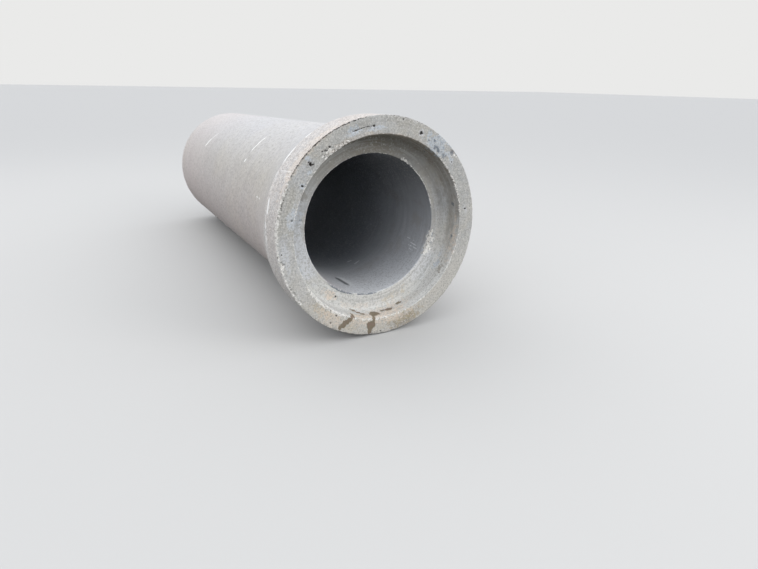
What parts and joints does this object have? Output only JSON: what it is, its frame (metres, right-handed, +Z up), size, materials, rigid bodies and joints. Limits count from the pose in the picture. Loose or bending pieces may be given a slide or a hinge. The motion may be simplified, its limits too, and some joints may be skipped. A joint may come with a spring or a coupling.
{
  "type": "concrete culvert pipe",
  "caption": "Concrete culvert pipe, cast whole: a bell with a socket, a long taper behind it, a plain barrel and a stepped spigot for a rubber ring.",
  "frame": {"origin": "middle of the pipe's footprint, on the level floor that it lies on", "axes": "+Y runs along the pipe from its bell end to its spigot end, +Z is up. The bell is wider than the barrel, so the pipe's own axis slopes 1.50 degrees down towards +Y."},
  "size_m": [0.9198, 2.5604, 0.9233],
  "materials": {
    "concrete": "matte"
  },
  "bodies": {
    "root": {"concrete_pipe": "concrete"}
  },
  "joints": []
}
